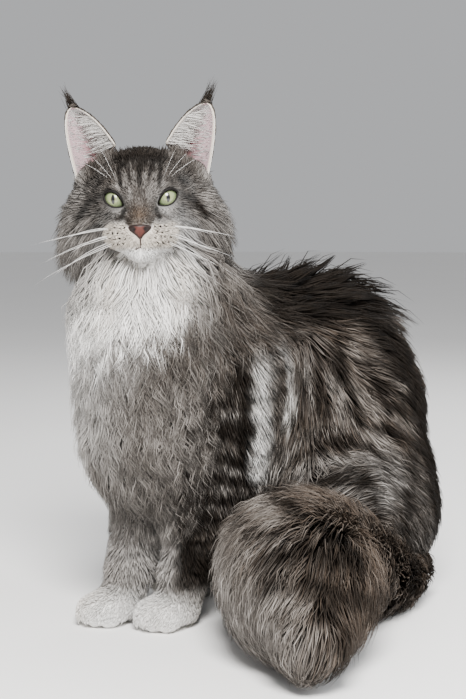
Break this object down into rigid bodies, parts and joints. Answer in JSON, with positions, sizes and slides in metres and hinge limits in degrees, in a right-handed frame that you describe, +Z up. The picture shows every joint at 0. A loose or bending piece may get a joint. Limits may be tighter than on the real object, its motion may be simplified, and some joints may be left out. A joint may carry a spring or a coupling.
{
  "type": "sitting maine coon cat",
  "caption": "Still life-size model of a sitting long-haired maine coon cat, head turned to its left, tufted ears, ruff, and bushy tail laid round on the floor.",
  "frame": {"origin": "centre of the whole cat's box at the floor", "axes": "+Z up, the body faces -Y, +X is the cat's left side"},
  "size_m": [0.4162, 0.398, 0.494],
  "materials": {
    "face_fur": "short dense silver tabby fur",
    "ear_skin": "thin ear skin with fine hair",
    "eye": "wet glossy green-yellow eye",
    "pale_fur": "long pale silver ruff",
    "white_fur": "white fur",
    "back_fur": "long dark tabby fur",
    "leg_fur": "banded grey tabby fur",
    "tail_fur": "very long soft grey fur"
  },
  "bodies": {
    "root": {"head": "face_fur", "ear_left": "ear_skin", "ear_right": "ear_skin", "eye_left": "eye", "eye_right": "eye", "neck": "pale_fur", "chest": "white_fur", "torso": "back_fur", "hips": "back_fur", "foreleg_left": "leg_fur", "foreleg_right": "leg_fur", "forepaw_left": "white_fur", "forepaw_right": "white_fur", "thigh_left": "leg_fur", "thigh_right": "leg_fur", "hindfoot_left": "white_fur", "hindfoot_right": "white_fur", "tail_root": "tail_fur", "tail_base": "tail_fur", "tail_middle": "tail_fur", "tail_tip": "tail_fur"}
  },
  "joints": []
}
